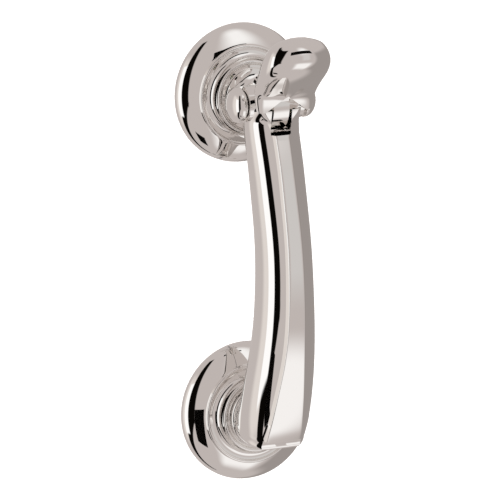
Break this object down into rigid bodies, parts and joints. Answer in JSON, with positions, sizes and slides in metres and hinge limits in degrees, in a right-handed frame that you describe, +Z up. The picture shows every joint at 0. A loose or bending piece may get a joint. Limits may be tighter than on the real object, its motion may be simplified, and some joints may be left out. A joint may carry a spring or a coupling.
{
  "type": "door knocker",
  "caption": "Pendant door knocker: turned roses above and below, a hooded hanger arm on the upper one, and a curved handle that swings and strikes a button on the lower one.",
  "frame": {"origin": "centre of the upper rose on the door's face", "axes": "+Z up the door, -Y out from the door towards the caller, +X to the right seen from outside"},
  "size_m": [0.062, 0.1259, 0.2077],
  "materials": {
    "polished_chrome": "mirror-polished chromium plate on brass",
    "plated_steel": "bright zinc plate",
    "nylon": "natural nylon",
    "rubber": "black sheet rubber"
  },
  "bodies": {
    "hanger": {"upper_rose": "polished_chrome", "lower_rose": "polished_chrome", "hanger_arm": "polished_chrome", "striker_button": "polished_chrome", "pivot_cap_left": "polished_chrome", "pivot_cap_right": "polished_chrome", "pivot_collar_left": "polished_chrome", "pivot_collar_right": "polished_chrome", "upper_dome_nut": "polished_chrome", "lower_dome_nut": "polished_chrome", "upper_locating_peg": "plated_steel", "lower_locating_peg": "plated_steel", "upper_fixing_stud": "plated_steel", "lower_fixing_stud": "plated_steel", "upper_inner_washer": "plated_steel", "lower_inner_washer": "plated_steel", "pivot_pin": "plated_steel", "grub_screw": "plated_steel", "thrust_washer_left": "nylon", "thrust_washer_right": "nylon", "upper_gasket": "rubber", "lower_gasket": "rubber"},
    "handle": {"handle_bar": "polished_chrome", "pivot_bush_left": "nylon", "pivot_bush_right": "nylon"}
  },
  "joints": [
    {"name": "handle_swing", "type": "hinge", "parent": "hanger", "child": "handle", "pos_m": [0, -0.0335, 0.001], "axis": [-1, 0, 0], "range_deg": [0, 28]}
  ]
}
